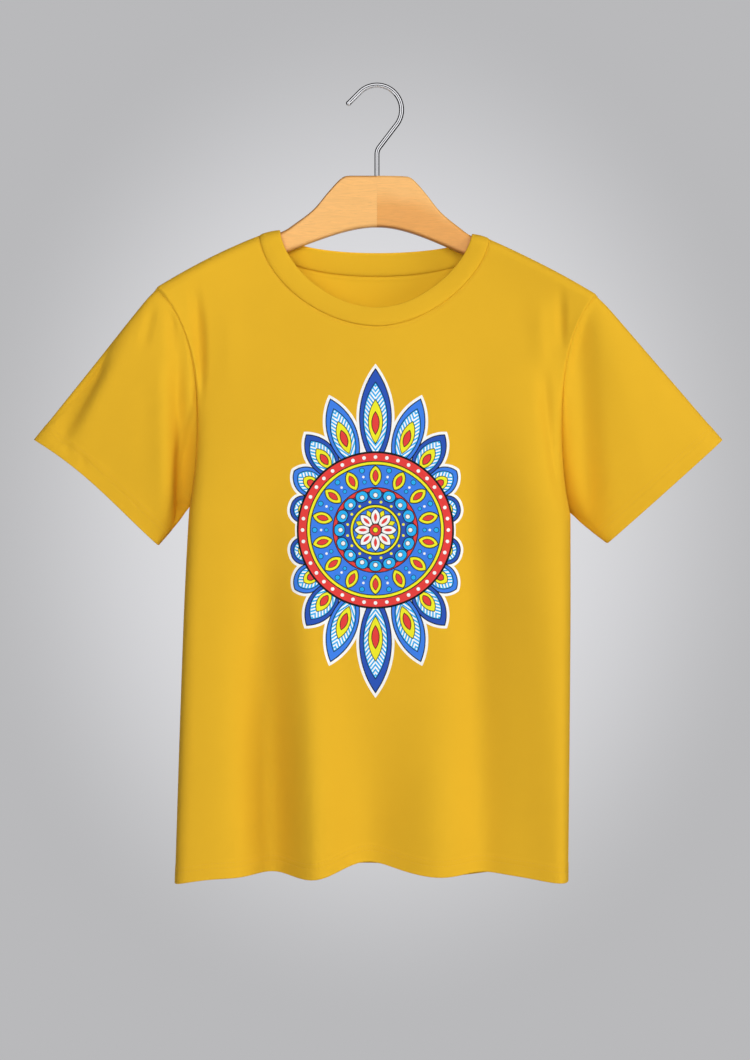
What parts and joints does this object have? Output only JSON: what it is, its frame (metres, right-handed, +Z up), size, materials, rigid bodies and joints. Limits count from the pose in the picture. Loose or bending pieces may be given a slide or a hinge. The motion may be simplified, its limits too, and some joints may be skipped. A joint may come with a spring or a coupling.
{
  "type": "t-shirt on hanger",
  "caption": "Short-sleeved crew-neck T-shirt hanging on a wooden coat hanger, whose steel hook turns in the wood.",
  "frame": {"origin": "the point of the hook's curl that rests on the rail, at the inside of its top", "axes": "+Z up; the front of the shirt faces -Y; the wearer's left is on +X"},
  "size_m": [0.7242, 0.1144, 0.8483],
  "materials": {
    "hook_steel": "bright chrome-plated steel wire",
    "hanger_wood": "beech with a clear satin varnish",
    "jersey": "mustard-yellow single jersey cotton",
    "rib_knit": "mustard-yellow rib-knit cotton"
  },
  "bodies": {
    "hook": {"hook": "hook_steel"},
    "hanger": {"hanger_left_arm": "hanger_wood", "hanger_right_arm": "hanger_wood", "front_panel": "jersey", "back_panel": "jersey", "left_sleeve": "jersey", "right_sleeve": "jersey", "neck_rib": "rib_knit"}
  },
  "joints": [
    {"name": "hook_swivel", "type": "hinge", "parent": "hook", "child": "hanger", "pos_m": [0, 0, -0.12], "axis": [0, 0, 1], "continuous": true}
  ]
}
